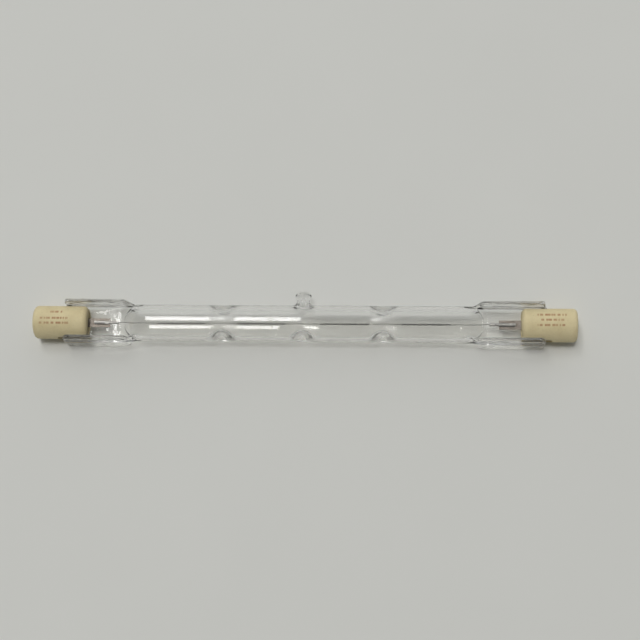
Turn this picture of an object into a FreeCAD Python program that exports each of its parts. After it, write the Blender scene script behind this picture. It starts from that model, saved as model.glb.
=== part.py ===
"""A double-ended linear halogen bulb, in millimetres.

X runs along the bulb, the exhaust tip points along +Y and Z is up. The origin
is the bulb's centre, on its axis. The bulb lies on the four lower edges of its
seal flanges, with the flat webs of both seals level.
"""

import FreeCAD, Part
import math
import os

V = FreeCAD.Vector
ORIGIN = V(0, 0, 0)
ALONG_X = V(1, 0, 0)
ALONG_Y = V(0, 1, 0)

# Driving sizes: the whole bulb
overall_length = 117.6
contact_depth = 1.7

# Driving sizes: the quartz tube
tube_diameter = 8.0
tube_wall = 1.0
seal_bare_length = 7.6
flare_length = 5.0
flare_lead_in = 1.0
flare_root_depth = 0.15
flare_root_flat = 0.3

# Driving sizes: the pressed seals, an H in section
web_thickness = 1.8
flange_height = 8.3
flange_thickness = 0.85
flange_corner_radius = 1.8
flange_edge_radius = 0.3
flange_corner = 0.8
web_root_radius = 0.4
tongue_length = 0.9
tongue_inset = 0.5
tongue_corner_radius = 0.7

# Driving sizes: the dents that steady the filament, and the exhaust tip
dent_spacing = 34.8
dent_gap = 0.7
dent_wall = 0.75
dent_nose_radius = 0.45
dent_half_angle = 38.0
tip_reach = 7.0
tip_diameter = 3.7
tip_crown = 1.3
tip_round = 0.45
tip_crown_diameter = 1.8
tip_neck_diameter = 2.7
tip_foot = 0.5
tip_foot_height = 0.75
tip_bore_diameter = 1.7
tip_bore_end_diameter = 0.4

# Driving sizes: the filament and what carries the current to it
coil_diameter = 0.44
wire_diameter = 0.2
coil_length = 10.7
centre_wire_length = 7.4
end_wire_length = 6.3
wire_entry = 1.9
lead_diameter = 0.7
foil_width = 2.0
foil_length = 8.5
foil_thickness = 0.05
foil_weld_depth = 0.03
foil_setback = 2.2
inner_lead_lap = 3.5
outer_lead_lap = 1.5

# Driving sizes: the ceramic caps and the contacts
cap_diameter = 7.2
cap_length = 11.9
cap_inner_round = 1.2
cap_outer_round = 0.9
recess_diameter = 4.2
recess_chamfer = 0.25
contact_diameter = 3.4
contact_thickness = 0.5
contact_rim_chamfer = 0.15
shank_diameter = 1.4
shank_length = 2.0
lead_in_shank = 1.2
shank_to_slot = 1.0
slot_past_tongue = 0.7
cement_recess = 0.35
cement_setback = 0.4

# Clearances
cap_to_flange = 0.05
cement_layer = 0.2
contact_to_seat = 0.1
shank_to_hole = 0.05

# Stations along the right half of the bulb
half_length = overall_length / 2
tube_radius = tube_diameter / 2
bore_radius = tube_radius - tube_wall
cap_radius = cap_diameter / 2
cap_inner_end = half_length - cap_length
dome_end = cap_inner_end - seal_bare_length
dome_centre = dome_end - tube_radius
cavity_end = dome_centre + bore_radius
flare_start = dome_centre - flare_lead_in
flare_end = flare_start + flare_length
contact_face = half_length - contact_depth
seat_floor = contact_face - contact_thickness
shank_start = seat_floor - shank_length
slot_end = shank_start - shank_to_slot
tongue_end = slot_end - slot_past_tongue
flange_end = tongue_end - tongue_length
foil_end = tongue_end - foil_setback
foil_start = foil_end - foil_length
foil_top = foil_weld_depth - lead_diameter / 2
wire_end = cavity_end + wire_entry

# Half widths and heights of the seal's section
flange_inner_half = cap_radius + cap_to_flange
flange_outer_half = flange_inner_half + flange_thickness
flange_half_height = flange_height / 2
hull_root = tube_radius - flare_root_depth
flare_root_corner = hull_root - flare_root_flat
web_half = web_thickness / 2
slot_half = web_half + cement_layer

# How many sections the flare is drawn through
FLARE_SECTIONS = 6

# How far a cutting shape reaches past what it cuts
PAST = 1.0


def section_wire(x, half_width, half_height, corner):
    """A box with round corners, standing across the bulb at x."""
    flat_y, flat_z = half_width - corner, half_height - corner
    turns = [(1, 1), (-1, 1), (-1, -1), (1, -1)]
    edges = []
    last = V(x, half_width, -flat_z)
    for sy, sz in turns:
        side = V(x, sy * half_width, sz * flat_z)
        level = V(x, sy * flat_y, sz * half_height)
        start, end = (side, level) if sy * sz > 0 else (level, side)
        edges.append(Part.makeLine(last, start))
        edges.append(quarter_round(start, V(x, sy * half_width, sz * half_height), end))
        last = end
    return Part.Wire(edges)


def spun(edges, axis_point, axis):
    """The solid swept by a closed outline turned once about an axis."""
    face = Part.Face(Part.Wire(edges))
    return face.revolve(axis_point, axis, 360)


def outline(points):
    """Straight edges through the points, without closing them."""
    return [Part.makeLine(a, b) for a, b in zip(points, points[1:])]


def quarter_round(start, corner, end):
    """An arc of a quarter turn from start to end, round off the corner."""
    centre = start + end - corner
    radius = centre.distanceToPoint(start)
    middle = centre + (corner - centre).normalize() * radius
    return Part.Arc(start, middle, end).toShape()


def eased(start, corner, end):
    """A quarter round cut in two flats, from start to end."""
    arc = quarter_round(start, corner, end)
    middle = arc.valueAt((arc.FirstParameter + arc.LastParameter) / 2)
    return outline([start, middle, end])


def rod(start, end, radius):
    """A cylinder along X from start to end."""
    return Part.makeCylinder(radius, end - start, V(start, 0, 0), ALONG_X)


def block(x0, x1, half_width, z0, z1):
    """A box from x0 to x1, centred across the bulb."""
    corner = V(x0, -half_width, z0)
    return Part.makeBox(x1 - x0, 2 * half_width, z1 - z0, corner)


def mirrored(shape):
    """The same piece at the left end."""
    return shape.mirror(ORIGIN, ALONG_X)


def both_ends(shape):
    return [shape, mirrored(shape)]


# Quartz envelope: tube, domes and pressed seals

def domed_rod():
    """The quartz rod's outside, with a half ball on each end."""
    tip = V(dome_end, 0, 0)
    corner = V(dome_end, tube_radius, 0)
    flank_end = V(dome_centre, tube_radius, 0)
    right = quarter_round(tip, corner, flank_end)
    left = right.mirror(ORIGIN, ALONG_X)
    flank = Part.makeLine(flank_end, V(-dome_centre, tube_radius, 0))
    axis = Part.makeLine(V(-dome_end, 0, 0), tip)
    return spun([right, flank, left, axis], ORIGIN, ALONG_X)


def cavity():
    """The hollow inside, narrowing to a point at each end in two steps."""
    tip = V(cavity_end, 0, 0)
    flank_end = V(dome_centre, bore_radius, 0)
    edges = eased(tip, V(cavity_end, bore_radius, 0), flank_end)
    left = [e.mirror(ORIGIN, ALONG_X) for e in reversed(edges)]
    flank = Part.makeLine(flank_end, V(-dome_centre, bore_radius, 0))
    axis = Part.makeLine(V(-cavity_end, 0, 0), tip)
    return spun(edges + [flank] + left + [axis], ORIGIN, ALONG_X)


def seal_hull():
    """The right seal before pressing, flaring out of the tube to a rounded box."""
    wires = []
    for i in range(FLARE_SECTIONS):
        part = i / (FLARE_SECTIONS - 1)
        ease = math.sin(part * math.pi / 2)
        x = flare_start + flare_length * part
        half_width = hull_root + (flange_outer_half - hull_root) * ease
        half_height = hull_root + (flange_half_height - hull_root) * ease
        corner = flare_root_corner + (flange_corner - flare_root_corner) * part
        wires.append(section_wire(x, half_width, half_height, corner))
    flare = Part.makeLoft(wires, True, False)
    straight = Part.Face(wires[-1]).extrude(V(flange_end - flare_end, 0, 0))
    return flare.fuse(straight)


def flange_end_trim():
    """A plate seen from the side, with the flanges' two rounded end corners."""
    top = flange_half_height + PAST
    edge = flange_half_height - flange_corner_radius
    x0, x1 = flare_start - PAST, flange_end
    x2 = flange_end - flange_corner_radius
    y = -2 * flange_outer_half
    low, high = -flange_half_height, flange_half_height
    edges = outline([V(x2, y, low), V(x2, y, -top), V(x0, y, -top),
                     V(x0, y, top), V(x2, y, top), V(x2, y, high)])
    edges.append(quarter_round(V(x2, y, high), V(x1, y, high), V(x1, y, edge)))
    edges.append(Part.makeLine(V(x1, y, edge), V(x1, y, -edge)))
    edges.append(quarter_round(V(x1, y, -edge), V(x1, y, low), V(x2, y, low)))
    return Part.Face(Part.Wire(edges)).extrude(ALONG_Y * (-2 * y))


def press_pocket():
    """What the upper press jaw leaves empty between the flanges."""
    x, inner = flare_start, flange_inner_half
    root, edge = web_root_radius, flange_edge_radius
    mouth, top = flange_half_height, flange_half_height + PAST
    corners = [V(x, inner, web_half), V(x, inner, mouth)]
    into_root = V(x, inner - root, web_half)
    out_of_root = V(x, inner, web_half + root)
    into_mouth = V(x, inner, mouth - edge)
    out_of_mouth = V(x, inner + edge, mouth)
    half = outline([V(x, 0, top), V(x, 0, web_half), into_root])
    half.append(quarter_round(into_root, corners[0], out_of_root))
    half.append(Part.makeLine(out_of_root, into_mouth))
    half.append(quarter_round(into_mouth, corners[1], out_of_mouth))
    half += outline([out_of_mouth, V(x, inner + edge, top), V(x, 0, top)])
    right = Part.Face(Part.Wire(half)).extrude(ALONG_X * (flange_end + PAST - x))
    return right.fuse(right.mirror(ORIGIN, ALONG_Y)).removeSplitter()


def tongue():
    """The web's end past the flanges, which the cap's slot takes."""
    half_width = flange_inner_half - tongue_inset
    plate = block(flange_end - tongue_length, tongue_end, half_width,
                  -web_half, web_half)
    corners = [e for e in plate.Edges
               if abs(e.CenterOfMass.x - tongue_end) < 0.01
               and abs(e.CenterOfMass.z) < 0.01]
    return plate.makeFillet(tongue_corner_radius, corners)


def pressed_seal():
    """The right seal, an H in section, that the dome closes at its inner end."""
    seal = seal_hull().common(flange_end_trim())
    pocket = press_pocket()
    lower = pocket.mirror(ORIGIN, V(0, 0, 1))
    return seal.cut([pocket, lower]).fuse(tongue())


# Dents and the exhaust tip, each turned about an axis along Y

def dent(x, side, depth, nose_radius):
    """A flat-nosed cone pushed in towards the axis at x, to depth off it."""
    top = tube_radius + PAST
    rim = nose_radius + (top - depth) * math.tan(math.radians(dent_half_angle))
    base, inward = V(x, side * top, 0), V(0, -side, 0)
    return Part.makeCone(rim, nose_radius, top - depth, base, inward)


def dent_places():
    """Pairs of dents at both sides, and one opposite the exhaust tip."""
    pairs = [(x, side) for x in (-dent_spacing / 2, dent_spacing / 2)
             for side in (-1, 1)]
    return pairs + [(0.0, -1)]


def dents():
    depth = dent_gap / 2 + dent_wall
    return [dent(x, side, depth, dent_nose_radius) for x, side in dent_places()]


def bumps():
    """The same dents seen from inside, larger by the wall all round."""
    nose = dent_nose_radius + dent_wall / 2
    return [dent(x, side, dent_gap / 2, nose) for x, side in dent_places()]


def exhaust_tip():
    """The sealed stub of the exhaust tube: a flared root, a neck and a bulb."""
    neck = tip_neck_diameter / 2
    bulb = tip_diameter / 2
    root = tube_radius - tube_wall / 2
    edges = outline([
        V(0, root, 0),
        V(neck + tip_foot, root, 0),
        V(neck, root + tip_foot_height, 0),
        V(bulb, tip_reach - tip_crown, 0),
        V(bulb - tip_round, tip_reach - tip_round, 0),
        V(tip_crown_diameter / 2, tip_reach, 0),
        V(0, tip_reach, 0),
        V(0, root, 0),
    ])
    return spun(edges, ORIGIN, ALONG_Y)


def exhaust_bore():
    """The tip's inner hollow, drawn nearly to a point where it was sealed."""
    radius = tip_bore_diameter / 2
    start = bore_radius - PAST
    sealed = tip_reach - tip_crown
    edges = outline([
        V(0, start, 0),
        V(radius, start, 0),
        V(radius, tube_radius - tube_wall / 2, 0),
        V(tip_bore_end_diameter / 2, sealed, 0),
        V(0, sealed, 0),
        V(0, start, 0),
    ])
    return spun(edges, ORIGIN, ALONG_Y)


def quartz_body():
    """The envelope with its cavity, before the leads are sealed in."""
    body = domed_rod()
    for piece in both_ends(pressed_seal()) + [exhaust_tip()]:
        body = body.fuse(piece)
    for shape in dents():
        body = body.cut(shape)
    hollow = cavity()
    for shape in bumps():
        hollow = hollow.cut(shape)
    return body.cut(hollow.fuse(exhaust_bore()))


# Filament, leads and foils

def filament():
    """Coils as plain rods of the coil's outer size, joined by straight wire."""
    outer_coil_end = cavity_end - end_wire_length
    coil_starts = [centre_wire_length / 2, outer_coil_end - coil_length]
    coils = [rod(x, x + coil_length, coil_diameter / 2) for x in coil_starts]
    coils += [mirrored(c) for c in coils]
    return rod(-wire_end, wire_end, wire_diameter / 2).fuse(coils)


def foil():
    return block(foil_start, foil_end, foil_width / 2,
                 foil_top - foil_thickness, foil_top)


def lead(start, end):
    """A round pin, flattened where it is welded to the foil."""
    flat = block(foil_start, foil_end, foil_width / 2, -lead_diameter, foil_top)
    return rod(start, end, lead_diameter / 2).cut(flat)


# Ceramic cap, cement and contact

def cap_slot(past_cap):
    """The slot that straddles the web: level faces and a round end."""
    y = -cap_radius - past_cap
    x0, x1 = cap_inner_end - past_cap, slot_end - slot_half
    top, low = V(x1, y, slot_half), V(x1, y, -slot_half)
    edges = outline([low, V(x0, y, -slot_half), V(x0, y, slot_half), top])
    edges.append(Part.Arc(top, V(slot_end, y, 0), low).toShape())
    return Part.Face(Part.Wire(edges)).extrude(ALONG_Y * (-2 * y))


def cap():
    """A ceramic cylinder, slotted inwards; its recess steps down to a seat."""
    r, x0, x1 = cap_radius, cap_inner_end, half_length
    a, b = cap_inner_round, cap_outer_round
    recess = recess_diameter / 2
    seat = contact_diameter / 2 + contact_to_seat
    hole = shank_diameter / 2 + shank_to_hole
    edges = outline([V(x0, 0, 0), V(x0, r - a, 0)])
    edges += eased(V(x0, r - a, 0), V(x0, r, 0), V(x0 + a, r, 0))
    edges.append(Part.makeLine(V(x0 + a, r, 0), V(x1 - b, r, 0)))
    edges += eased(V(x1 - b, r, 0), V(x1, r, 0), V(x1, r - b, 0))
    edges += outline([
        V(x1, r - b, 0),
        V(x1, recess + recess_chamfer, 0),
        V(x1 - recess_chamfer, recess, 0),
        V(contact_face, recess, 0),
        V(contact_face, seat, 0),
        V(seat_floor, seat, 0),
        V(seat_floor, 0, 0),
        V(x0, 0, 0),
    ])
    body = spun(edges, ORIGIN, ALONG_X)
    return body.cut([cap_slot(PAST), rod(x0, x1, hole)])


def cement(seal, outer_lead):
    """The cement between the web and the slot, set back from the outside."""
    fill = cap_slot(0).common(
        rod(cap_inner_end + cement_setback, half_length, cap_radius - cement_recess))
    return fill.cut([seal, outer_lead])


def contact(outer_lead):
    """A flat contact button with the shank that the outer lead ends in."""
    radius = contact_diameter / 2
    shank = shank_diameter / 2
    rim = contact_rim_chamfer
    x1 = contact_face
    edges = outline([
        V(shank_start, 0, 0),
        V(shank_start, shank, 0),
        V(seat_floor, shank, 0),
        V(seat_floor, radius, 0),
        V(x1 - rim, radius, 0),
        V(x1, radius - rim, 0),
        V(x1, 0, 0),
        V(shank_start, 0, 0),
    ])
    return spun(edges, ORIGIN, ALONG_X).cut(outer_lead)


def main():
    body = quartz_body()
    wire = filament()
    sheet = foil()
    inner_lead = lead(wire_end, foil_start + inner_lead_lap)
    outer_lead = lead(foil_end - outer_lead_lap, shank_start + lead_in_shank)
    sealed_in = both_ends(sheet) + both_ends(inner_lead) + both_ends(outer_lead)
    envelope = body.cut(sealed_in + [wire])

    pieces = {"quartz_envelope": envelope, "filament": wire}
    end_pieces = {
        "inner_lead": inner_lead,
        "foil": sheet,
        "outer_lead": outer_lead,
        "cap": cap(),
        "cement": cement(body, outer_lead),
        "contact": contact(outer_lead),
    }
    for name, shape in end_pieces.items():
        pieces["right_" + name] = shape
        pieces["left_" + name] = mirrored(shape)

    os.makedirs("parts", exist_ok=True)
    for name, shape in pieces.items():
        solids = shape.Solids
        if len(solids) != 1 or not shape.isValid():
            raise ValueError(f"{name} has {len(solids)} solids or isn't valid")
        solids[0].exportStep(f"parts/{name}.step")
        print(f"{name}: {solids[0].Volume:.3f} mm3")


main()
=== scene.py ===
import math

import bmesh
import bpy
from mathutils import Matrix, Vector, noise


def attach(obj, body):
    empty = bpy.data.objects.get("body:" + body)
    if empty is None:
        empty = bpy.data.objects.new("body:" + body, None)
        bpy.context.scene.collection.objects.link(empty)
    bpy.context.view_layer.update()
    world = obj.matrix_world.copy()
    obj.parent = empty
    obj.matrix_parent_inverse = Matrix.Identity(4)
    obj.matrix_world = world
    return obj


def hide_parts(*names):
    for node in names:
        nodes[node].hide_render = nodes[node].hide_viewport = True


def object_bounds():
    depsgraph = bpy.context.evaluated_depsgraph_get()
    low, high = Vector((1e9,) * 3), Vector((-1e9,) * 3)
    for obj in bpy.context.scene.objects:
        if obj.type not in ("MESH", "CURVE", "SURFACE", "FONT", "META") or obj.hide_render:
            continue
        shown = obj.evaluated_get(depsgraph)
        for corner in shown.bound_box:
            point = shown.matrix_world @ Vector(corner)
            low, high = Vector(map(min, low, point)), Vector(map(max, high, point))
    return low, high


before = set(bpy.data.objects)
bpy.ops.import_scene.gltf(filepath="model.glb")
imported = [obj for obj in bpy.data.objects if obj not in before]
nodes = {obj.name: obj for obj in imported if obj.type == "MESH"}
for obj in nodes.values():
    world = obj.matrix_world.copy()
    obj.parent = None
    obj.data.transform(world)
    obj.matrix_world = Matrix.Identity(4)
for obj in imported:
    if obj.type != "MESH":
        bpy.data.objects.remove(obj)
cad_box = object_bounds()

MM = 0.001
ENDS = (("left", -1), ("right", 1))
SHARP_EDGE = math.radians(32)


# Small helpers for lines and pieces

def smooth_step(start, end, value):
    """Nothing before start and one past end, with a soft climb between."""
    part = min(max((value - start) / (end - start), 0.0), 1.0)
    return part * part * (3 - 2 * part)


def arc(centre, radius, start, end, steps):
    """Points on an arc, without its last one, as pairs."""
    made = []
    for i in range(steps):
        angle = math.radians(start + (end - start) * i / steps)
        made.append((centre[0] + radius * math.cos(angle),
                     centre[1] + radius * math.sin(angle)))
    return made


def run(start, end, steps):
    """Points on a straight line, without its last one, as pairs."""
    return [(start[0] + (end[0] - start[0]) * i / steps,
             start[1] + (end[1] - start[1]) * i / steps) for i in range(steps)]


def curve_through(points, part):
    """A point at part, from 0 to 1, of a smooth line through the points."""
    last = len(points) - 1
    place = min(max(part, 0.0), 1.0) * last
    i = min(int(place), last - 1)
    t = place - i
    p0, p1 = points[max(i - 1, 0)], points[i]
    p2, p3 = points[i + 1], points[min(i + 2, last)]
    return [0.5 * (2 * b + (c - a) * t + (2 * a - 5 * b + 4 * c - d) * t * t
                   + (3 * b - a - 3 * c + d) * t ** 3)
            for a, b, c, d in zip(p0, p1, p2, p3)]


def finished(bm, name):
    """The bmesh, drawn in millimetres, as an object in metres."""
    bmesh.ops.scale(bm, vec=(MM, MM, MM), verts=bm.verts)
    mesh = bpy.data.meshes.new(name)
    bm.to_mesh(mesh)
    bm.free()
    mesh.shade_smooth()
    made = bpy.data.objects.new(name, mesh)
    bpy.context.collection.objects.link(made)
    return made


def turned_round(bm):
    """The right end's piece made into the left end's, with its faces still outwards."""
    bmesh.ops.scale(bm, vec=(-1, 1, 1), verts=bm.verts)
    bmesh.ops.reverse_faces(bm, faces=bm.faces)


def dressed(piece, material, slot, *replaced):
    """The piece in its material, riding on the bulb, in place of its CAD node."""
    piece.data.materials.clear()
    piece.data.materials.append(material)
    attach(piece, "root")
    if replaced:
        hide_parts(*replaced)
    return piece


# The quartz envelope in millimetres: the tube, its shoulders and the hollow's ends
TUBE, BORE = 4.0, 3.0
TUBE_END = SHOULDER_START = 34.0
SHOULDER_END = 39.8
NOSE_START, BEND_START, CAVITY_END = 38.2, 37.5, 38.9
BEND_POWER, BEND_STEPS, CAVITY_SIDES = 0.45, 22, 112

# The pressed seals: web, flanges, and the rounded ends of both
FLARE_START, FLARE_END = 36.3, 39.2
WEB, WEB_ROOT, ROOT_ROUND, ROOT_FADE = 0.9, 3.25, 0.4, 3.0
FLANGE_IN, FLANGE_OUT, FLANGE_TOP = 3.65, 4.5, 4.15
MOUTH_ROUND, MOUTH_TURN = 0.3, 108.5
OUTER_ROUND, OUTER_TURN = 0.8, 78.8
FLANGE_END, FLANGE_CORNER = 52.0, 1.8
TONGUE_END, TONGUE_HALF, TONGUE_CORNER = 52.9, 3.15, 0.7
ENDING_START = 48.0
END_ROWS = (50.2, 50.6, 51.0, 51.4, 51.8, 52.15, 52.45, 52.7, 52.84, 52.9)
END_INSETS = (0.02, 0.09, 0.2)

# Sections stand this far apart from each place on, closer where the form changes
LAST_GAP = 0.3
GAPS = ((39.0, LAST_GAP), (33.0, 0.25), (20.6, 0.8), (14.2, 0.15), (3.1, 0.8), (0.0, 0.13))

# The dents, as places and sides, and the exhaust tip, as pairs of radius and height
DENT_OUT, DENT_REACH = 17.4, 6.0
DENT_PLACES = ((-DENT_OUT, 1), (-DENT_OUT, -1), (DENT_OUT, 1), (DENT_OUT, -1), (0.0, -1))
PIT_DEPTH, PIT_WIDTH = 0.4, 1.2
KNOB_HEIGHT, KNOB_WIDTH = 1.5, 1.7
SWELL, SWELL_WIDTH = 0.032, 2.0
TIP_OUTLINE = ((3.0, 4.0), (2.2, 4.06), (1.66, 4.3), (1.42, 4.7), (1.4, 5.1),
               (1.58, 5.5), (1.72, 6.0), (1.7, 6.45), (1.35, 6.85), (0.6, 6.98), (0.0, 7.0))
TIP_HOLLOW = ((1.6, 3.0), (1.05, 3.15), (0.7, 3.6), (0.5, 4.3), (0.42, 4.9),
              (0.36, 5.4), (0.2, 5.75), (0.0, 5.85))

# How uneven the drawn and pressed quartz is: depths, and how fast the waves come
LENGTHWISE_PACE = 0.6
TUBE_WAVE, TUBE_PACE = 0.005, 0.35
BORE_WAVE, BORE_PACE = 0.008, 0.3
FLANGE_WAVE, FLANGE_PACE, FLANGE_WAVE_START = 0.09, 0.9, 4.0
PRESS_MARKS, SHORT_SHARE = 0.055, 0.4
LONG_LINES, SHORT_LINES = (0.25, 2.6, 9.0), (0.8, 4.3, 5.0)
LINES_RISE, MARKS_END = (38.5, 41.0), 51.5
WRINKLES, WRINKLE_PACE = 0.07, (0.9, 1.3, 3.0)
WRINKLES_RISE, WRINKLES_FALL = (34.5, 37.5), (40.5, 42.5)


def seal_quarter():
    """A quarter of the seal's section, from the web's middle over one flange."""
    root = (WEB_ROOT, WEB + ROOT_ROUND)
    mouth = (FLANGE_IN + MOUTH_ROUND, FLANGE_TOP - MOUTH_ROUND)
    outer = (FLANGE_OUT - OUTER_ROUND, FLANGE_TOP - OUTER_ROUND)
    web = run((0.0, WEB), (WEB_ROOT, WEB), 13)
    flange = arc(root, ROOT_ROUND, -90, 0, 4)
    flange += run((FLANGE_IN, root[1]), (FLANGE_IN, mouth[1]), 7)
    flange += arc(mouth, MOUTH_ROUND, 180, MOUTH_TURN, 4)
    flange += arc(outer, OUTER_ROUND, OUTER_TURN, 0, 5)
    flange += run((FLANGE_OUT, outer[1]), (FLANGE_OUT, 0.0), 8)
    return web, flange


def hull_columns():
    """The lines that run along the envelope: side signs, place, tube angle, way round."""
    web, flange = seal_quarter()
    outline = flange + [(FLANGE_OUT, 0.0)]
    ways = [0.0]
    for a, b in zip(outline, outline[1:]):
        ways.append(ways[-1] + math.dist(a, b))
    start = math.asin(WEB_ROOT / TUBE)
    quarter = [(y, z, math.asin(y / TUBE), -1.0) for y, z in web]
    for (y, z), way in zip(outline, ways):
        quarter.append((y, z, start + (math.pi / 2 - start) * way / ways[-1], way))
    top_right = [(1, 1) + c for c in quarter]
    low_right = [(1, -1) + c for c in reversed(quarter[:-1])]
    low_left = [(-1, -1) + c for c in quarter[1:]]
    top_left = [(-1, 1) + c for c in reversed(quarter[1:-1])]
    return top_right + low_right + low_left + top_left


def web_height(y, reach):
    """Half the height over y: the tube, its pressed shoulder, and the web beyond it."""
    round_tube = math.sqrt(TUBE ** 2 - y ** 2)
    return round_tube + (WEB - round_tube) * smooth_step(SHOULDER_START, SHOULDER_END, reach)


def column_end(y, z):
    """How far out a line runs: the tongue's or the flange's rounded corner."""
    if y <= TONGUE_HALF and z <= WEB + 0.01:
        over = max(y - (TONGUE_HALF - TONGUE_CORNER), 0.0)
        return TONGUE_END - TONGUE_CORNER + math.sqrt(TONGUE_CORNER ** 2 - over ** 2)
    over = min(max(z - (FLANGE_TOP - FLANGE_CORNER), 0.0), FLANGE_CORNER - 0.02)
    return FLANGE_END - FLANGE_CORNER + math.sqrt(FLANGE_CORNER ** 2 - over ** 2)


def dented(x, y, z, depth, width):
    """The point moved where a dent is pressed in: the side goes in, the top swells a little."""
    for place, side in DENT_PLACES:
        along = x - place
        if abs(along) < DENT_REACH:
            z *= 1 + SWELL * math.exp(-(along / SWELL_WIDTH) ** 2) / (2 if place else 1)
            if y * side > 0:
                y -= side * depth * math.exp(-(math.hypot(along, z) / width) ** 2)
    return y, z


def drawn_out(x, y, z, wall, outline):
    """The point carried on to the exhaust tip where it lies on its foot."""
    away = math.hypot(x, z)
    if y <= 0 or away >= outline[0][0]:
        return x, y, z
    part = 1 - away / outline[0][0]
    radius, height = curve_through(outline, part)
    turn = radius / away if away > 1e-6 else 0.0
    return x * turn, height + (y - wall) * (1 - part) ** 2, z * turn


def stations(tail):
    """Places along half the bulb, up to the given last ones."""
    made, x = [0.0], 0.0
    while x < tail[0] - LAST_GAP:
        x += next(gap for start, gap in GAPS if x >= start)
        made.append(x)
    return made + list(tail)


def both_ways(half):
    """The same places on both sides of the middle."""
    return [-x for x in reversed(half[1:])] + half


def sleeve(bm, rows):
    """A grid rolled up into a sleeve, laid on the rows of points and joined along its seam."""
    count, turns = len(rows), len(rows[0])
    made = bmesh.ops.create_grid(bm, x_segments=count - 1, y_segments=turns, size=1.0)
    for v in made["verts"]:
        i = round((v.co.x + 1) / 2 * (count - 1))
        j = round((v.co.y + 1) / 2 * turns) % turns
        v.co = rows[i][j]
    bmesh.ops.remove_doubles(bm, verts=bm.verts, dist=1e-4)


def ripple(x, y, z, pace):
    """Slow waves between nothing and one, longer along the bulb."""
    return 0.5 + 0.5 * noise.noise(Vector((x * LENGTHWISE_PACE, y, z)) * pace)


def unevenness(x, y, z, pace):
    """Waves between minus one and one, at a pace of their own along each axis."""
    return noise.noise(Vector((x * pace[0], y * pace[1], z * pace[2])))


def press_mark(x, y, z):
    """The wavy surface that the jaws leave: lines along the web, wrinkles at its root."""
    lines = unevenness(x, y, z, LONG_LINES) + SHORT_SHARE * unevenness(x, y, z, SHORT_LINES)
    wrinkles = unevenness(x, y, z, WRINKLE_PACE)
    reach = abs(x)
    on_web = smooth_step(*LINES_RISE, reach)
    near_root = smooth_step(*WRINKLES_RISE, reach) * (1 - smooth_step(*WRINKLES_FALL, reach))
    return PRESS_MARKS * lines * on_web + WRINKLES * wrinkles * near_root


def hull_point(x, column, blend, root_drop):
    """A point of the outside, between the round tube and the seal's section."""
    sy, sz, y, z, angle, way = column
    reach, here_x = abs(x), abs(x)
    if way < 0:
        here_y, here_z = y, web_height(y, reach)
    else:
        tube_y, tube_z = TUBE * math.sin(angle), TUBE * math.cos(angle)
        here_y = tube_y + (y - tube_y) * blend
        here_z = tube_z + (z - tube_z) * blend
        here_z += root_drop * max(1 - way / ROOT_FADE, 0.0) ** 2
    if reach > ENDING_START:
        room = column_end(y, z) - ENDING_START
        here_x = ENDING_START + (reach - ENDING_START) * room / (TONGUE_END - ENDING_START)
    px, py, pz = math.copysign(1, x) * here_x, sy * here_y, sz * here_z
    if reach < TUBE_END:
        shrink = 1 - TUBE_WAVE * ripple(px, py, pz, TUBE_PACE)
        py, pz = dented(px, py * shrink, pz * shrink, PIT_DEPTH, PIT_WIDTH)
        return drawn_out(px, py, pz, TUBE, TIP_OUTLINE)
    if reach < MARKS_END and way < 0:
        pz += sz * press_mark(px, py, sz)
    elif reach < MARKS_END and way > FLANGE_WAVE_START:
        py -= sy * FLANGE_WAVE * blend * ripple(px, py, pz, FLANGE_PACE)
    return px, py, pz


def drawn_in(row, depth):
    """A row moved in across the section, which rounds the seal's end."""
    count = len(row)
    made = []
    for j, (x, y, z) in enumerate(row):
        a, b = row[j - 1], row[(j + 1) % count]
        along = math.hypot(b[1] - a[1], b[2] - a[2]) or 1.0
        made.append((x, y + depth * (b[2] - a[2]) / along, z - depth * (b[1] - a[1]) / along))
    return made


def hull_rows():
    """All points of the envelope's outside, row by row along the bulb."""
    columns = hull_columns()
    insets = dict(zip(END_ROWS[-3:], END_INSETS))
    root_tube = TUBE * math.cos(math.asin(WEB_ROOT / TUBE))
    rows = []
    for x in both_ways(stations(END_ROWS)):
        reach = abs(x)
        blend = smooth_step(FLARE_START, FLARE_END, reach)
        root_drop = web_height(WEB_ROOT, reach) - (root_tube + (WEB - root_tube) * blend)
        row = [hull_point(x, column, blend, root_drop) for column in columns]
        if reach in insets:
            row = drawn_in(row, insets[reach])
        rows.append(row)
    return rows


def cavity_size(reach):
    """Half the hollow's width and height at a place along the bulb."""
    wide = high = BORE
    if reach > SHOULDER_START:
        high = web_height(0.0, reach) - (TUBE - BORE)
    if reach > BEND_START:
        wide *= max((CAVITY_END - reach) / (CAVITY_END - BEND_START), 0.0) ** BEND_POWER
    if reach > NOSE_START:
        part = min((reach - NOSE_START) / (CAVITY_END - NOSE_START), 1.0)
        high *= math.sqrt(1 - part ** 2)
    return wide, high


def cavity_rows():
    """All points of the hollow inside, pressed flat towards each end."""
    straight = [x for x in stations((BEND_START,)) if x < BEND_START - 0.1]
    bend = [BEND_START + (CAVITY_END - BEND_START) * math.sin(math.pi / 2 * i / BEND_STEPS)
            for i in range(BEND_STEPS + 1)]
    rows = []
    for x in both_ways(straight + bend):
        wide, high = cavity_size(abs(x))
        row = []
        for j in range(CAVITY_SIDES):
            angle = 2 * math.pi * j / CAVITY_SIDES
            y, z = wide * math.sin(angle), high * math.cos(angle)
            grow = 1 + BORE_WAVE * (ripple(x, y, z, BORE_PACE) - 0.5)
            y, z = dented(x, y * grow, z * grow, KNOB_HEIGHT, KNOB_WIDTH)
            row.append(drawn_out(x, y, z, BORE, TIP_HOLLOW))
        rows.append(row)
    return rows


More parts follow.
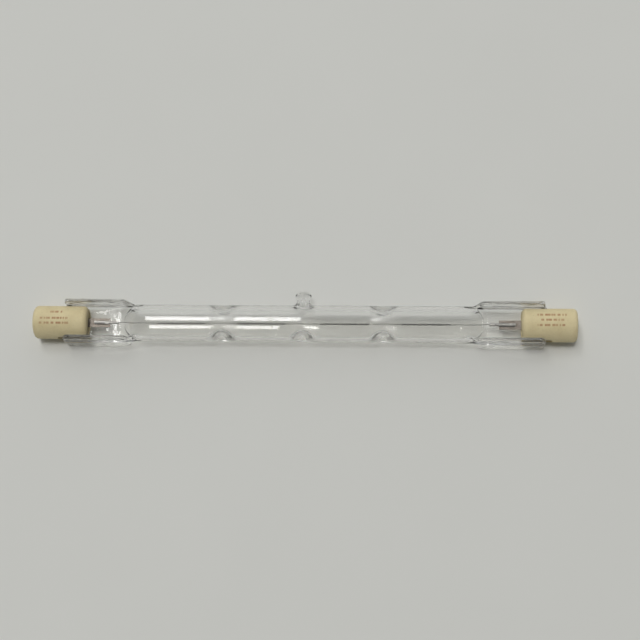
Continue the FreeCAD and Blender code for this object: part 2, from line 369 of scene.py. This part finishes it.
def quartz_envelope():
    """Tube, domes, pressed seals, dents and tip in one piece of quartz."""
    bm = bmesh.new()
    sleeve(bm, hull_rows())
    for side in (-1, 1):
        rim = [e for e in bm.edges if e.is_boundary and e.verts[0].co.x * side > 0]
        bmesh.ops.triangle_fill(bm, use_beauty=True, edges=rim, normal=(side, 0, 0))
    bmesh.ops.recalc_face_normals(bm, faces=bm.faces)
    hollow = bmesh.new()
    sleeve(hollow, cavity_rows())
    bmesh.ops.recalc_face_normals(hollow, faces=hollow.faces)
    bmesh.ops.reverse_faces(hollow, faces=hollow.faces)
    inner = bpy.data.meshes.new("quartz_hollow")
    hollow.to_mesh(inner)
    hollow.free()
    bm.from_mesh(inner)
    bpy.data.meshes.remove(inner)
    return finished(bm, "quartz_bulb")


# The filament in millimetres: fine coils joined by straight wire
COIL_RADIUS, COIL_PITCH, COIL_WIRE, STRAIGHT_WIRE = 0.17, 0.15, 0.05, 0.1
COIL_SPANS = ((3.7, 14.4), (21.3, 32.0))
COIL_LEAD, WIRE_END = 0.5, 40.2
COIL_WANDER, WANDER_PACE = 0.03, 9
TURN_POINTS, OPENING_POINTS = 12, 8


def filament_points():
    """The wire's line from end to end, with its thickness, in millimetres."""
    spans = [(-b, -a) for a, b in reversed(COIL_SPANS)] + list(COIL_SPANS)
    points = [(-WIRE_END, 0.0, 0.0, STRAIGHT_WIRE)]
    for start, end in spans:
        turns = round((end - start) / COIL_PITCH)
        count = turns * TURN_POINTS
        points.append((start - COIL_LEAD, 0.0, 0.0, STRAIGHT_WIRE))
        for i in range(count + 1):
            part = i / count
            angle = 2 * math.pi * turns * part
            radius = COIL_RADIUS * min(min(i, count - i) / OPENING_POINTS, 1.0)
            wander = noise.noise(Vector((start + part * WANDER_PACE, 0.5, 0.5)))
            points.append((start + (end - start) * part,
                           radius * math.cos(angle) + COIL_WANDER * wander,
                           radius * math.sin(angle), COIL_WIRE))
        points.append((end + COIL_LEAD, 0.0, 0.0, STRAIGHT_WIRE))
    points.append((WIRE_END, 0.0, 0.0, STRAIGHT_WIRE))
    return points


def filament_wire():
    """The filament as a mesh, swept along its line as a curve."""
    line = bpy.data.curves.new("filament_line", "CURVE")
    line.dimensions = "3D"
    line.bevel_depth = COIL_WIRE * MM
    line.bevel_resolution = 1
    line.use_fill_caps = True
    spline = line.splines.new("POLY")
    points = filament_points()
    spline.points.add(len(points) - 1)
    for point, (x, y, z, thick) in zip(spline.points, points):
        point.co = (x * MM, y * MM, z * MM, 1.0)
        point.radius = thick / COIL_WIRE
    holder = bpy.data.objects.new("filament_line", line)
    bpy.context.collection.objects.link(holder)
    mesh = bpy.data.meshes.new_from_object(holder)
    bpy.data.objects.remove(holder)
    mesh.shade_smooth()
    made = bpy.data.objects.new("filament_wire", mesh)
    bpy.context.collection.objects.link(made)
    return made


# The ceramic caps in millimetres: outside, recess and slot
CAP_RADIUS, CAP_START, CAP_END, CAP_SIDES = 3.6, 46.9, 58.8, 96
CAP_INNER_ROUND, CAP_OUTER_ROUND = 1.2, 0.9
RECESS, RECESS_ROUND, SEAT, HOLE = 2.1, 0.25, 1.8, 0.75
CONTACT_FACE, SEAT_FLOOR = 57.1, 56.6
SLOT_HALF, SLOT_END, SLOT_REACH = 1.1, 53.6, 5.0

# The contacts: the shank with the lead's hole, and the button with its shallow dish
SHANK, SHANK_START, LEAD, LEAD_END = 0.7, 54.6, 0.36, 55.8
BUTTON, BUTTON_ROUND, BUTTON_SIDES = 1.7, 0.15, 64
DISH_RIM, DISH, DISH_DEPTH = 0.9, 0.8, 0.02


def turned(bm, points, steps):
    """A closed outline of (x, radius) turned once about the bulb's axis."""
    ring = [bm.verts.new((x, r, 0.0)) for x, r in points]
    edges = [bm.edges.new((a, b)) for a, b in zip(ring, ring[1:] + ring[:1])]
    bmesh.ops.spin(bm, geom=ring + edges, cent=(0, 0, 0), axis=(1, 0, 0),
                   angle=2 * math.pi, steps=steps, use_merge=True)
    bmesh.ops.remove_doubles(bm, verts=bm.verts, dist=1e-5)
    bmesh.ops.recalc_face_normals(bm, faces=bm.faces)


def cap_outline():
    """Half the cap's section, from the hole round the outside to the recess."""
    a, b, c = CAP_INNER_ROUND, CAP_OUTER_ROUND, RECESS_ROUND
    points = [(CAP_START, HOLE)]
    points += arc((CAP_START + a, CAP_RADIUS - a), a, 180, 90, 8)
    points += arc((CAP_END - b, CAP_RADIUS - b), b, 90, 0, 8)
    points += arc((CAP_END - c, RECESS + c), c, 0, -90, 4)
    points += [(CAP_END - c, RECESS), (CONTACT_FACE, RECESS), (CONTACT_FACE, SEAT),
               (SEAT_FLOOR, SEAT), (SEAT_FLOOR, HOLE)]
    return points


def slot_cutter():
    """The slot's shape: level faces with a round end, right across the cap."""
    bm = bmesh.new()
    before, bottom = CAP_START - 1, SLOT_END - SLOT_HALF
    profile = [(before, -SLOT_HALF)]
    profile += arc((bottom, 0.0), SLOT_HALF, -90, 90, 12)
    profile += [(bottom, SLOT_HALF), (before, SLOT_HALF)]
    face = bm.faces.new([bm.verts.new((x, -SLOT_REACH, z)) for x, z in profile])
    pushed = bmesh.ops.extrude_face_region(bm, geom=[face])["geom"]
    moved = [v for v in pushed if isinstance(v, bmesh.types.BMVert)]
    bmesh.ops.translate(bm, vec=(0, 2 * SLOT_REACH, 0), verts=moved)
    bmesh.ops.recalc_face_normals(bm, faces=bm.faces)
    return finished(bm, "slot_cutter")


def ceramic_cap(name, side, cutter):
    """A cap with its slot cut, at the left or right end."""
    bm = bmesh.new()
    turned(bm, cap_outline(), CAP_SIDES)
    whole = finished(bm, name)
    cut = whole.modifiers.new("slot", "BOOLEAN")
    cut.operation, cut.solver, cut.object = "DIFFERENCE", "EXACT", cutter
    bpy.context.view_layer.update()
    seen = whole.evaluated_get(bpy.context.evaluated_depsgraph_get())
    mesh = bpy.data.meshes.new_from_object(seen)
    whole.modifiers.clear()
    whole.data = mesh
    bm = bmesh.new()
    bm.from_mesh(mesh)
    if side < 0:
        turned_round(bm)
    bm.to_mesh(mesh)
    bm.free()
    mesh.shade_smooth()
    mesh.set_sharp_from_angle(angle=SHARP_EDGE)
    return whole


def contact_button(name, side):
    """The contact with its shank, softly rounded at the rim."""
    bm = bmesh.new()
    flat = BUTTON - BUTTON_ROUND
    points = [(SHANK_START, LEAD), (SHANK_START, SHANK), (SEAT_FLOOR, SHANK), (SEAT_FLOOR, BUTTON)]
    points += arc((CONTACT_FACE - BUTTON_ROUND, flat), BUTTON_ROUND, 90, 0, 5)
    points += [(CONTACT_FACE, flat), (CONTACT_FACE, DISH_RIM), (CONTACT_FACE - DISH_DEPTH, DISH),
               (CONTACT_FACE - DISH_DEPTH, 0.0), (LEAD_END, 0.0), (LEAD_END, LEAD)]
    turned(bm, points, BUTTON_SIDES)
    if side < 0:
        turned_round(bm)
    made = finished(bm, name)
    made.data.set_sharp_from_angle(angle=SHARP_EDGE)
    return made


# Helpers for nodes

def plug(tree, node, values):
    """Feeds a node's inputs, by name or by number, with sockets or plain values."""
    for name, value in values.items():
        if isinstance(value, bpy.types.NodeSocket):
            tree.links.new(value, node.inputs[name])
        else:
            node.inputs[name].default_value = value


def add(tree, kind, values=None, **properties):
    """A node with its properties set and its inputs fed."""
    node = tree.nodes.new(kind)
    for name, value in properties.items():
        setattr(node, name, value)
    plug(tree, node, values or {})
    return node


def maths(tree, operation, *values):
    """What a Math node makes of the values."""
    node = add(tree, "ShaderNodeMath", dict(enumerate(values)), operation=operation)
    return node.outputs["Value"]


def mapped(tree, value, from_min, from_max, to_min=0.0, to_max=1.0):
    """A value carried from one span to another, and held inside it."""
    node = add(tree, "ShaderNodeMapRange", {"Value": value, "From Min": from_min,
                                            "From Max": from_max, "To Min": to_min,
                                            "To Max": to_max})
    return node.outputs["Result"]


def levels(tree, mask, low, high):
    """A mask stretched between two values."""
    return mapped(tree, mask, 0.0, 1.0, low, high)


def strongest(tree, masks):
    """The largest of several masks."""
    total = masks[0]
    for mask in masks[1:]:
        total = maths(tree, "MAXIMUM", total, mask)
    return total


def colours(tree, mask, low, high):
    """Two colours mixed by a mask, each a plain one or one from another node."""
    low, high = (c if isinstance(c, bpy.types.NodeSocket) else (*c, 1.0) for c in (low, high))
    mix = add(tree, "ShaderNodeMix", {"Factor": mask, "A": low, "B": high}, data_type="RGBA")
    return mix.outputs["Result"]


def axes_of(tree, kind):
    """The three coordinates of a place, apart."""
    place = add(tree, "ShaderNodeTexCoord").outputs[kind]
    return add(tree, "ShaderNodeSeparateXYZ", {0: place}).outputs


def bump(tree, shader, height, strength, distance):
    """Relief on the shader's surface."""
    node = add(tree, "ShaderNodeBump", {"Height": height, "Strength": strength,
                                        "Distance": distance})
    plug(tree, shader, {"Normal": node.outputs["Normal"]})


def new_group(name, inputs, outputs):
    """An empty shader group with plainly named sockets."""
    group = bpy.data.node_groups.new(name, "ShaderNodeTree")
    for label, value in inputs:
        socket = group.interface.new_socket(label, in_out="INPUT", socket_type="NodeSocketFloat")
        socket.default_value = value
    for label in outputs:
        group.interface.new_socket(label, in_out="OUTPUT", socket_type="NodeSocketFloat")
    start = group.nodes.new("NodeGroupInput")
    end = group.nodes.new("NodeGroupOutput")
    return group, start.outputs, end


# Effects that several materials use

def grain_group():
    """Broad mottling and fine specks over a surface."""
    group, given, end = new_group(
        "surface_grain", (("Broad", 300.0), ("Fine", 3000.0), ("Specks", 0.6)),
        ("Mottle", "Speck", "Relief"))
    place = add(group, "ShaderNodeTexCoord").outputs["Object"]
    broad = add(group, "ShaderNodeTexNoise", {"Vector": place, "Scale": given["Broad"],
                                              "Detail": 3.0, "Roughness": 0.6}).outputs["Fac"]
    fine = add(group, "ShaderNodeTexNoise", {"Vector": place, "Scale": given["Fine"],
                                             "Detail": 2.0, "Roughness": 0.7}).outputs["Fac"]
    plug(group, end, {"Mottle": mapped(group, broad, 0.3, 0.7),
                      "Speck": mapped(group, fine, given["Specks"], 0.75),
                      "Relief": maths(group, "ADD", broad, fine)})
    return group


# The print's dashes: how fast they come, where the ink breaks, and how high it starts
DASH_PACE, DASH_SHIFT = 1900.0, 7.3
INK_START, INK_FULL = 0.4, 0.5
PRINT_ABOVE = 0.5


def between(tree, value, low, high):
    """One inside the limits and nothing outside, from two comparisons."""
    return maths(tree, "MULTIPLY", maths(tree, "GREATER_THAN", value, low),
                 maths(tree, "LESS_THAN", value, high))


def dash_group():
    """One row of plain broken dashes on a cap's top, as a mask."""
    group, given, end = new_group(
        "dash_row", (("From", 0.0), ("To", 0.0), ("Low", 0.0), ("High", 0.0), ("Shift", 0.0)),
        ("Ink",))
    axes = axes_of(group, "Object")
    along = maths(group, "MULTIPLY_ADD", axes["X"], DASH_PACE, given["Shift"])
    broken = add(group, "ShaderNodeTexNoise", {"W": along, "Scale": 1.0, "Detail": 0.0},
                 noise_dimensions="1D").outputs["Fac"]
    ink = mapped(group, broken, INK_START, INK_FULL)
    for limits in (between(group, axes["X"], given["From"], given["To"]),
                   between(group, axes["Y"], given["Low"], given["High"]),
                   maths(group, "GREATER_THAN", axes["Z"], PRINT_ABOVE * MM)):
        ink = maths(group, "MULTIPLY", ink, limits)
    plug(group, end, {"Ink": ink})
    return group


GRAIN, DASHES = grain_group(), dash_group()


def grain(tree, broad, fine, specks=0.6):
    """The grain in a material, with scales of its own."""
    return add(tree, "ShaderNodeGroup", {"Broad": broad, "Fine": fine, "Specks": specks},
               node_tree=GRAIN).outputs


def dash_row(tree, start, end, low, high):
    """A row of dashes in a material, between the given millimetres."""
    return add(tree, "ShaderNodeGroup", {"From": start * MM, "To": end * MM, "Low": low * MM,
                                         "High": high * MM, "Shift": low * DASH_SHIFT},
               node_tree=DASHES).outputs["Ink"]


# Colours of the finishes, from the darker to the lighter
QUARTZ_TINTS = ((0.975, 0.975, 0.97), (0.995, 0.995, 0.99))
QUARTZ_SHADOWS = ((0.825, 0.823, 0.813), (0.56, 0.555, 0.545))
CREAMS, CREAM_PIT = ((0.7, 0.59, 0.345), (0.78, 0.68, 0.42)), (0.42, 0.36, 0.22)
PRINT_INK = (0.37, 0.15, 0.065)
CEMENTS = ((0.52, 0.44, 0.31), (0.76, 0.69, 0.54))
TUNGSTENS = ((0.3, 0.29, 0.28), (0.46, 0.45, 0.43))
NICKELS = ((0.5, 0.48, 0.44), (0.66, 0.64, 0.6))
LEAD_GREYS = ((0.52, 0.5, 0.48), (0.78, 0.76, 0.73))
FOIL_GREYS = ((0.22, 0.19, 0.165), (0.4, 0.36, 0.32))
PAPERS = ((0.727, 0.732, 0.702), (0.739, 0.744, 0.714))
MATT = 0.9

# Clear quartz: how it bends light, and where its shadow darkens towards a rim
QUARTZ_IOR = 1.458
RIM_START, RIM_END = 0.3, 0.5

# Where the hot quartz was worked, in millimetres along the bulb, and its extra haze
WORKED_PLACES = ((-40.0, 0.07), (-17.4, 0.2), (0.0, 0.14), (17.4, 0.18), (40.5, 0.04))
WORKED_FULL, WORKED_END = 2.0, 3.5


def blank_material(name):
    """A material with its Principled shader, ready to be fed."""
    material = bpy.data.materials.new(name)
    material.use_nodes = True
    tree = material.node_tree
    return material, tree, tree.nodes["Principled BSDF"]


def worked_haze(tree):
    """Extra haze where the hot quartz was pressed, dented and drawn out."""
    along = axes_of(tree, "Object")["X"]
    hazes = []
    for middle, haze in WORKED_PLACES:
        away = maths(tree, "ABSOLUTE", maths(tree, "SUBTRACT", along, middle * MM))
        hazes.append(mapped(tree, away, WORKED_FULL * MM, WORKED_END * MM, haze, 0.0))
    return strongest(tree, hazes)


def clear_quartz():
    """Drawn quartz: clear, faintly uneven, with shadows that let light through."""
    material, tree, shader = blank_material("clear_quartz")
    uneven = grain(tree, 90.0, 1400.0)
    haze = maths(tree, "ADD", levels(tree, uneven["Speck"], 0.0, 0.05), worked_haze(tree))
    plug(tree, shader, {"Base Color": colours(tree, uneven["Mottle"], *QUARTZ_TINTS),
                        "Roughness": haze, "Transmission Weight": 1.0, "IOR": QUARTZ_IOR,
                        "Metallic": 0.0})
    bump(tree, shader, uneven["Mottle"], 0.05, 0.0002)
    edge = add(tree, "ShaderNodeLayerWeight", {"Blend": 0.5}).outputs["Facing"]
    dimmed = colours(tree, mapped(tree, edge, RIM_START, RIM_END), *QUARTZ_SHADOWS)
    passing = add(tree, "ShaderNodeBsdfTransparent", {"Color": dimmed})
    rays = add(tree, "ShaderNodeLightPath")
    mix = add(tree, "ShaderNodeMixShader", {0: rays.outputs["Is Shadow Ray"],
                                            1: shader.outputs["BSDF"],
                                            2: passing.outputs["BSDF"]})
    plug(tree, tree.nodes["Material Output"], {"Surface": mix.outputs["Shader"]})
    return material


def worn_metal(name, greys, dullness, scales):
    """Bare metal with a drawn, slightly dull surface."""
    material, tree, shader = blank_material(name)
    uneven = grain(tree, *scales)
    plug(tree, shader, {"Base Color": colours(tree, uneven["Mottle"], *greys),
                        "Roughness": levels(tree, uneven["Mottle"], *dullness),
                        "Metallic": 1.0})
    bump(tree, shader, uneven["Relief"], 0.25, 0.00002)
    return material


def cream_ceramic(name, rows):
    """Unglazed cream ceramic with fine pits and rows of faded dashes."""
    material, tree, shader = blank_material(name)
    uneven = grain(tree, 350.0, 5000.0, 0.62)
    body = colours(tree, uneven["Mottle"], *CREAMS)
    pitted = colours(tree, uneven["Speck"], body, CREAM_PIT)
    ink = strongest(tree, [dash_row(tree, *row) for row in rows])
    faded = maths(tree, "MULTIPLY", ink, levels(tree, uneven["Mottle"], 0.45, 0.8))
    plug(tree, shader, {"Base Color": colours(tree, faded, pitted, PRINT_INK),
                        "Roughness": levels(tree, uneven["Mottle"], 0.5, 0.7)})
    bump(tree, shader, uneven["Relief"], 0.35, 0.00006)
    return material


def pale_cement():
    """The coarse, matt cement between web and slot."""
    material, tree, shader = blank_material("pale_cement")
    uneven = grain(tree, 900.0, 6000.0, 0.5)
    plug(tree, shader, {"Base Color": colours(tree, uneven["Mottle"], *CEMENTS),
                        "Roughness": MATT})
    bump(tree, shader, uneven["Relief"], 0.8, 0.0001)
    return material


def paper_floor():
    """Plain pale paper for the floor."""
    material, tree, shader = blank_material("studio_paper")
    uneven = grain(tree, 25.0, 900.0)
    plug(tree, shader, {"Base Color": colours(tree, uneven["Mottle"], *PAPERS),
                        "Roughness": MATT})
    return material


# The camera: where it looks and stands, its lens and its slight roll
FOCUS = Vector((3.7, 0.9, 0.0)) * MM
EYE = Vector((28.0, -80.0, 320.0)) * MM
LENS, SENSOR = 86.0, 36.0
NEAREST, FURTHEST = 0.01, 20.0
ROLL = math.radians(0.35)

# The light: one lamp for the streaks along the tube, and a soft sun nearly overhead
LAMP_PLACE, LAMP_SIZE, LAMP_WATTS = (-0.168, 0.3, 0.95), (0.123, 0.42), 1.75
SUN_STRENGTH, SUN_WIDTH = 1.07, math.radians(13)
SUN_TILT = (math.radians(-2), math.radians(-3), 0.0)
WARM_WHITE, ROOM_WHITE = (1.0, 0.99, 0.97), (0.98, 1.0, 1.0, 1.0)
FLOOR_HALF = 3000.0

# The room's light by direction: low and high limit, then the strength at each
OVERHEAD, SKYLINE = (0.25, 0.5, 0.12, 0.53), (-0.5, 0.3, 0.23, 0.4)
SKYLINE_TOP, OVERHEAD_START = 0.06, 0.3


def photo_camera():
    """The camera at the photograph's angle."""
    data = bpy.data.cameras.new("photo_camera")
    data.lens, data.sensor_width = LENS, SENSOR
    data.clip_start, data.clip_end = NEAREST, FURTHEST
    camera = bpy.data.objects.new("photo_camera", data)
    back = (EYE - FOCUS).normalized()
    up = back.cross(Vector((1, 0, 0))).normalized()
    side = up.cross(back).normalized()
    roll = Matrix.Rotation(ROLL, 3, back)
    turn = Matrix((roll @ side, roll @ up, back)).transposed()
    camera.matrix_world = Matrix.Translation(EYE) @ turn.to_4x4()
    bpy.context.collection.objects.link(camera)
    bpy.context.scene.camera = camera


def studio_floor():
    """A wide pale floor under the bulb's lowest edges."""
    bm = bmesh.new()
    bmesh.ops.create_grid(bm, x_segments=4, y_segments=4, size=FLOOR_HALF)
    bmesh.ops.translate(bm, vec=(0, 0, cad_box[0][2] / MM), verts=bm.verts)
    floor = finished(bm, "studio_floor")
    floor.data.materials.append(paper_floor())


def streak_lamp():
    """An area lamp, tilted about the bulb's length only, so that its streaks lie along it."""
    data = bpy.data.lights.new("streak_lamp", "AREA")
    data.shape = "RECTANGLE"
    data.size, data.size_y = LAMP_SIZE
    data.energy, data.color = LAMP_WATTS, WARM_WHITE
    lamp = bpy.data.objects.new("streak_lamp", data)
    lamp.location = LAMP_PLACE
    lamp.rotation_euler = (-math.atan2(LAMP_PLACE[1], LAMP_PLACE[2]), 0.0, 0.0)
    bpy.context.collection.objects.link(lamp)


def daylight():
    """A soft sun that the quartz neither mirrors nor focuses."""
    data = bpy.data.lights.new("daylight", "SUN")
    data.energy, data.angle, data.color = SUN_STRENGTH, SUN_WIDTH, WARM_WHITE
    sun = bpy.data.objects.new("daylight", data)
    sun.rotation_euler = SUN_TILT
    sun.visible_glossy = sun.visible_transmission = False
    bpy.context.collection.objects.link(sun)


def pale_room():
    """The dim room round the bulb, brighter to the rear than to the front."""
    world = bpy.data.worlds.new("pale_room")
    world.use_nodes = True
    tree = world.node_tree
    axes = axes_of(tree, "Generated")
    overhead = mapped(tree, axes["Y"], *OVERHEAD)
    skyline = mapped(tree, axes["Y"], *SKYLINE)
    height = mapped(tree, axes["Z"], SKYLINE_TOP, OVERHEAD_START)
    strength = add(tree, "ShaderNodeMix", {"Factor": height, "A": skyline, "B": overhead},
                   data_type="FLOAT").outputs["Result"]
    plug(tree, tree.nodes["Background"], {"Strength": strength, "Color": ROOM_WHITE})
    bpy.context.scene.world = world


photo_camera()
studio_floor()
streak_lamp()
daylight()
pale_room()
bpy.context.scene.view_settings.view_transform = "Standard"

dressed(quartz_envelope(), clear_quartz(), "clear_quartz", "quartz_envelope")
tungsten = worn_metal("drawn_tungsten", TUNGSTENS, (0.3, 0.5), (2000.0, 9000.0))
dressed(filament_wire(), tungsten, "tungsten", "filament")

# Each cap's rows of dashes, in millimetres: start and end along X, low and high in Y
PRINT_ROWS = {"left": ((-54.9, -52.2, 1.35, 1.85),
                       (-57.0, -50.9, -0.1, 0.35),
                       (-57.6, -50.5, -1.15, -0.7)),
              "right": ((50.2, 56.4, 1.3, 1.8),
                        (50.8, 55.9, 0.15, 0.6),
                        (50.2, 56.4, -1.0, -0.55))}
ceramics = {end: cream_ceramic(end + "_ceramic", rows) for end, rows in PRINT_ROWS.items()}
contact_metal = worn_metal("nickel_contact", NICKELS, (0.22, 0.42), (900.0, 6000.0))
cutter = slot_cutter()
for end, side in ENDS:
    dressed(ceramic_cap(end + "_ceramic_cap", side, cutter), ceramics[end],
            "cream_ceramic", end + "_cap")
    dressed(contact_button(end + "_contact_button", side), contact_metal,
            "contact_metal", end + "_contact")
bpy.data.objects.remove(cutter)

lead_metal = worn_metal("molybdenum_lead", LEAD_GREYS, (0.25, 0.45), (1200.0, 7000.0))
foil_metal = worn_metal("molybdenum_foil", FOIL_GREYS, (0.4, 0.55), (1500.0, 7000.0))
finishes = {"inner_lead": lead_metal, "outer_lead": lead_metal, "foil": foil_metal,
            "cement": pale_cement()}
for end, _ in ENDS:
    for part, material in finishes.items():
        mesh = nodes[end + "_" + part].data
        mesh.materials.clear()
        mesh.materials.append(material)
